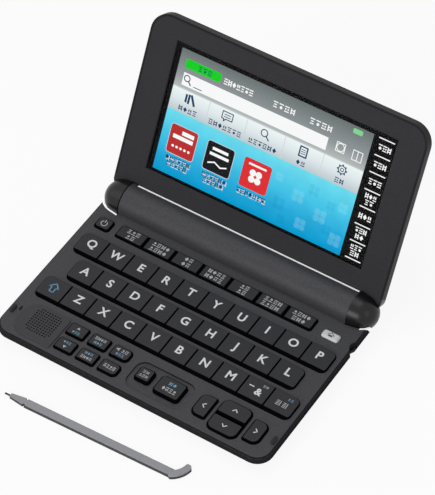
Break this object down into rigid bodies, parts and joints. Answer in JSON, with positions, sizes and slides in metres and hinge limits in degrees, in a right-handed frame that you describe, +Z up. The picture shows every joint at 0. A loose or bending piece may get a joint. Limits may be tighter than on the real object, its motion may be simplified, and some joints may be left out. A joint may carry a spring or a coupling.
{
  "type": "electronic dictionary",
  "caption": "Clamshell electronic dictionary: keyboard base with battery barrel, touch display lid that turns on it, and a separate stylus.",
  "frame": {"origin": "middle of the whole part, with the lid open and the stylus in front, on the surface that it stands on", "axes": "+X runs to the right along the lid's hinge, +Y runs to the back, +Z up"},
  "size_m": [0.15, 0.1718, 0.0941],
  "materials": {
    "case_black": "satin black moulding",
    "key_black": "matte, finely textured",
    "key_pale": "matte light grey",
    "grille_black": "matte",
    "bright_trim": "bright metallised strip",
    "touch_glass": "clear, smooth",
    "display": "colour display, lit",
    "stylus_grey": "satin grey",
    "foot_rubber": "matte",
    "membrane_rubber": "silicone, matte",
    "inner_plastic": "moulded",
    "board_green": "solder-masked board",
    "speaker_black": "black can",
    "cell_steel": "sleeved cell can",
    "contact_steel": "plated spring steel",
    "hinge_steel": "turned"
  },
  "bodies": {
    "base": {"deck_cover": "case_black", "bottom_cover": "case_black", "battery_cells": "cell_steel", "battery_contacts": "contact_steel", "hinge_units": "hinge_steel", "main_board": "board_green", "keypad_membrane": "membrane_rubber", "speaker": "speaker_black", "speaker_grille": "grille_black", "stylus_holder": "inner_plastic", "bright_trims": "bright_trim", "rubber_feet": "foot_rubber", "deck_bumpers": "foot_rubber"},
    "lid": {"lid_rear_cover": "case_black", "lid_bezel": "case_black", "touch_panel": "touch_glass", "lcd_module": "display", "hinge_pins": "hinge_steel"},
    "battery_door": {"battery_door": "case_black"},
    "stylus": {"stylus": "stylus_grey"},
    "key_q": {"key_q": "key_black"},
    "key_w": {"key_w": "key_black"},
    "key_e": {"key_e": "key_black"},
    "key_r": {"key_r": "key_black"},
    "key_t": {"key_t": "key_black"},
    "key_y": {"key_y": "key_black"},
    "key_u": {"key_u": "key_black"},
    "key_i": {"key_i": "key_black"},
    "key_o": {"key_o": "key_black"},
    "key_p": {"key_p": "key_black"},
    "key_a": {"key_a": "key_black"},
    "key_s": {"key_s": "key_black"},
    "key_d": {"key_d": "key_black"},
    "key_f": {"key_f": "key_black"},
    "key_g": {"key_g": "key_black"},
    "key_h": {"key_h": "key_black"},
    "key_j": {"key_j": "key_black"},
    "key_k": {"key_k": "key_black"},
    "key_l": {"key_l": "key_black"},
    "key_shift": {"key_shift": "key_black"},
    "key_z": {"key_z": "key_black"},
    "key_x": {"key_x": "key_black"},
    "key_c": {"key_c": "key_black"},
    "key_v": {"key_v": "key_black"},
    "key_b": {"key_b": "key_black"},
    "key_n": {"key_n": "key_black"},
    "key_m": {"key_m": "key_black"},
    "key_dash": {"key_dash": "key_black"},
    "key_delete": {"key_delete": "key_black"},
    "key_power": {"key_power": "key_black"},
    "key_home": {"key_home": "key_pale"},
    "key_back": {"key_back": "key_black"},
    "key_enter": {"key_enter": "key_black"},
    "key_left": {"key_left": "key_black"},
    "key_right": {"key_right": "key_black"},
    "key_up": {"key_up": "key_black"},
    "key_down": {"key_down": "key_black"},
    "function_keys": {"function_keys": "key_black"},
    "quick_keys": {"quick_keys": "key_black"}
  },
  "joints": [
    {"name": "lid_hinge", "type": "hinge", "parent": "base", "child": "lid", "pos_m": [0, 0.03533, 0.0097], "axis": [-1, 0, 0], "range_deg": [-118, 27]},
    {"name": "battery_door_slide", "type": "slide", "parent": "base", "child": "battery_door", "axis": [0, 1, 0], "range_m": [0, 0.009]},
    {"name": "stylus_slide", "type": "slide", "parent": "base", "child": "stylus", "axis": [0.9995, 0.0332, 0], "range_m": [-0.04, 0.04]},
    {"name": "press_q", "type": "slide", "parent": "base", "child": "key_q", "axis": [0, 0, -1], "range_m": [0, 0.0008], "stiffness_N_per_m": 300, "springref_m": -0.0005},
    {"name": "press_w", "type": "slide", "parent": "base", "child": "key_w", "axis": [0, 0, -1], "range_m": [0, 0.0008], "stiffness_N_per_m": 300, "springref_m": -0.0005},
    {"name": "press_e", "type": "slide", "parent": "base", "child": "key_e", "axis": [0, 0, -1], "range_m": [0, 0.0008], "stiffness_N_per_m": 300, "springref_m": -0.0005},
    {"name": "press_r", "type": "slide", "parent": "base", "child": "key_r", "axis": [0, 0, -1], "range_m": [0, 0.0008], "stiffness_N_per_m": 300, "springref_m": -0.0005},
    {"name": "press_t", "type": "slide", "parent": "base", "child": "key_t", "axis": [0, 0, -1], "range_m": [0, 0.0008], "stiffness_N_per_m": 300, "springref_m": -0.0005},
    {"name": "press_y", "type": "slide", "parent": "base", "child": "key_y", "axis": [0, 0, -1], "range_m": [0, 0.0008], "stiffness_N_per_m": 300, "springref_m": -0.0005},
    {"name": "press_u", "type": "slide", "parent": "base", "child": "key_u", "axis": [0, 0, -1], "range_m": [0, 0.0008], "stiffness_N_per_m": 300, "springref_m": -0.0005},
    {"name": "press_i", "type": "slide", "parent": "base", "child": "key_i", "axis": [0, 0, -1], "range_m": [0, 0.0008], "stiffness_N_per_m": 300, "springref_m": -0.0005},
    {"name": "press_o", "type": "slide", "parent": "base", "child": "key_o", "axis": [0, 0, -1], "range_m": [0, 0.0008], "stiffness_N_per_m": 300, "springref_m": -0.0005},
    {"name": "press_p", "type": "slide", "parent": "base", "child": "key_p", "axis": [0, 0, -1], "range_m": [0, 0.0008], "stiffness_N_per_m": 300, "springref_m": -0.0005},
    {"name": "press_a", "type": "slide", "parent": "base", "child": "key_a", "axis": [0, 0, -1], "range_m": [0, 0.0008], "stiffness_N_per_m": 300, "springref_m": -0.0005},
    {"name": "press_s", "type": "slide", "parent": "base", "child": "key_s", "axis": [0, 0, -1], "range_m": [0, 0.0008], "stiffness_N_per_m": 300, "springref_m": -0.0005},
    {"name": "press_d", "type": "slide", "parent": "base", "child": "key_d", "axis": [0, 0, -1], "range_m": [0, 0.0008], "stiffness_N_per_m": 300, "springref_m": -0.0005},
    {"name": "press_f", "type": "slide", "parent": "base", "child": "key_f", "axis": [0, 0, -1], "range_m": [0, 0.0008], "stiffness_N_per_m": 300, "springref_m": -0.0005},
    {"name": "press_g", "type": "slide", "parent": "base", "child": "key_g", "axis": [0, 0, -1], "range_m": [0, 0.0008], "stiffness_N_per_m": 300, "springref_m": -0.0005},
    {"name": "press_h", "type": "slide", "parent": "base", "child": "key_h", "axis": [0, 0, -1], "range_m": [0, 0.0008], "stiffness_N_per_m": 300, "springref_m": -0.0005},
    {"name": "press_j", "type": "slide", "parent": "base", "child": "key_j", "axis": [0, 0, -1], "range_m": [0, 0.0008], "stiffness_N_per_m": 300, "springref_m": -0.0005},
    {"name": "press_k", "type": "slide", "parent": "base", "child": "key_k", "axis": [0, 0, -1], "range_m": [0, 0.0008], "stiffness_N_per_m": 300, "springref_m": -0.0005},
    {"name": "press_l", "type": "slide", "parent": "base", "child": "key_l", "axis": [0, 0, -1], "range_m": [0, 0.0008], "stiffness_N_per_m": 300, "springref_m": -0.0005},
    {"name": "press_shift", "type": "slide", "parent": "base", "child": "key_shift", "axis": [0, 0, -1], "range_m": [0, 0.0008], "stiffness_N_per_m": 300, "springref_m": -0.0005},
    {"name": "press_z", "type": "slide", "parent": "base", "child": "key_z", "axis": [0, 0, -1], "range_m": [0, 0.0008], "stiffness_N_per_m": 300, "springref_m": -0.0005},
    {"name": "press_x", "type": "slide", "parent": "base", "child": "key_x", "axis": [0, 0, -1], "range_m": [0, 0.0008], "stiffness_N_per_m": 300, "springref_m": -0.0005},
    {"name": "press_c", "type": "slide", "parent": "base", "child": "key_c", "axis": [0, 0, -1], "range_m": [0, 0.0008], "stiffness_N_per_m": 300, "springref_m": -0.0005},
    {"name": "press_v", "type": "slide", "parent": "base", "child": "key_v", "axis": [0, 0, -1], "range_m": [0, 0.0008], "stiffness_N_per_m": 300, "springref_m": -0.0005},
    {"name": "press_b", "type": "slide", "parent": "base", "child": "key_b", "axis": [0, 0, -1], "range_m": [0, 0.0008], "stiffness_N_per_m": 300, "springref_m": -0.0005},
    {"name": "press_n", "type": "slide", "parent": "base", "child": "key_n", "axis": [0, 0, -1], "range_m": [0, 0.0008], "stiffness_N_per_m": 300, "springref_m": -0.0005},
    {"name": "press_m", "type": "slide", "parent": "base", "child": "key_m", "axis": [0, 0, -1], "range_m": [0, 0.0008], "stiffness_N_per_m": 300, "springref_m": -0.0005},
    {"name": "press_dash", "type": "slide", "parent": "base", "child": "key_dash", "axis": [0, 0, -1], "range_m": [0, 0.0008], "stiffness_N_per_m": 300, "springref_m": -0.0005},
    {"name": "press_delete", "type": "slide", "parent": "base", "child": "key_delete", "axis": [0, 0, -1], "range_m": [0, 0.0008], "stiffness_N_per_m": 300, "springref_m": -0.0005},
    {"name": "press_power", "type": "slide", "parent": "base", "child": "key_power", "axis": [0, 0, -1], "range_m": [0, 0.0008], "stiffness_N_per_m": 300, "springref_m": -0.0005},
    {"name": "press_home", "type": "slide", "parent": "base", "child": "key_home", "axis": [0, 0, -1], "range_m": [0, 0.0008], "stiffness_N_per_m": 300, "springref_m": -0.0005},
    {"name": "press_back", "type": "slide", "parent": "base", "child": "key_back", "axis": [0, 0, -1], "range_m": [0, 0.0008], "stiffness_N_per_m": 300, "springref_m": -0.0005},
    {"name": "press_enter", "type": "slide", "parent": "base", "child": "key_enter", "axis": [0, 0, -1], "range_m": [0, 0.0008], "stiffness_N_per_m": 300, "springref_m": -0.0005},
    {"name": "press_left", "type": "slide", "parent": "base", "child": "key_left", "axis": [0, 0, -1], "range_m": [0, 0.0008], "stiffness_N_per_m": 300, "springref_m": -0.0005},
    {"name": "press_right", "type": "slide", "parent": "base", "child": "key_right", "axis": [0, 0, -1], "range_m": [0, 0.0008], "stiffness_N_per_m": 300, "springref_m": -0.0005},
    {"name": "press_up", "type": "slide", "parent": "base", "child": "key_up", "axis": [0, 0, -1], "range_m": [0, 0.0008], "stiffness_N_per_m": 300, "springref_m": -0.0005},
    {"name": "press_down", "type": "slide", "parent": "base", "child": "key_down", "axis": [0, 0, -1], "range_m": [0, 0.0008], "stiffness_N_per_m": 300, "springref_m": -0.0005},
    {"name": "press_function_keys", "type": "slide", "parent": "base", "child": "function_keys", "axis": [0, 0, -1], "range_m": [0, 0.0008], "stiffness_N_per_m": 300, "springref_m": -0.0005},
    {"name": "press_quick_keys", "type": "slide", "parent": "base", "child": "quick_keys", "axis": [0, 0, -1], "range_m": [0, 0.0008], "stiffness_N_per_m": 300, "springref_m": -0.0005}
  ]
}
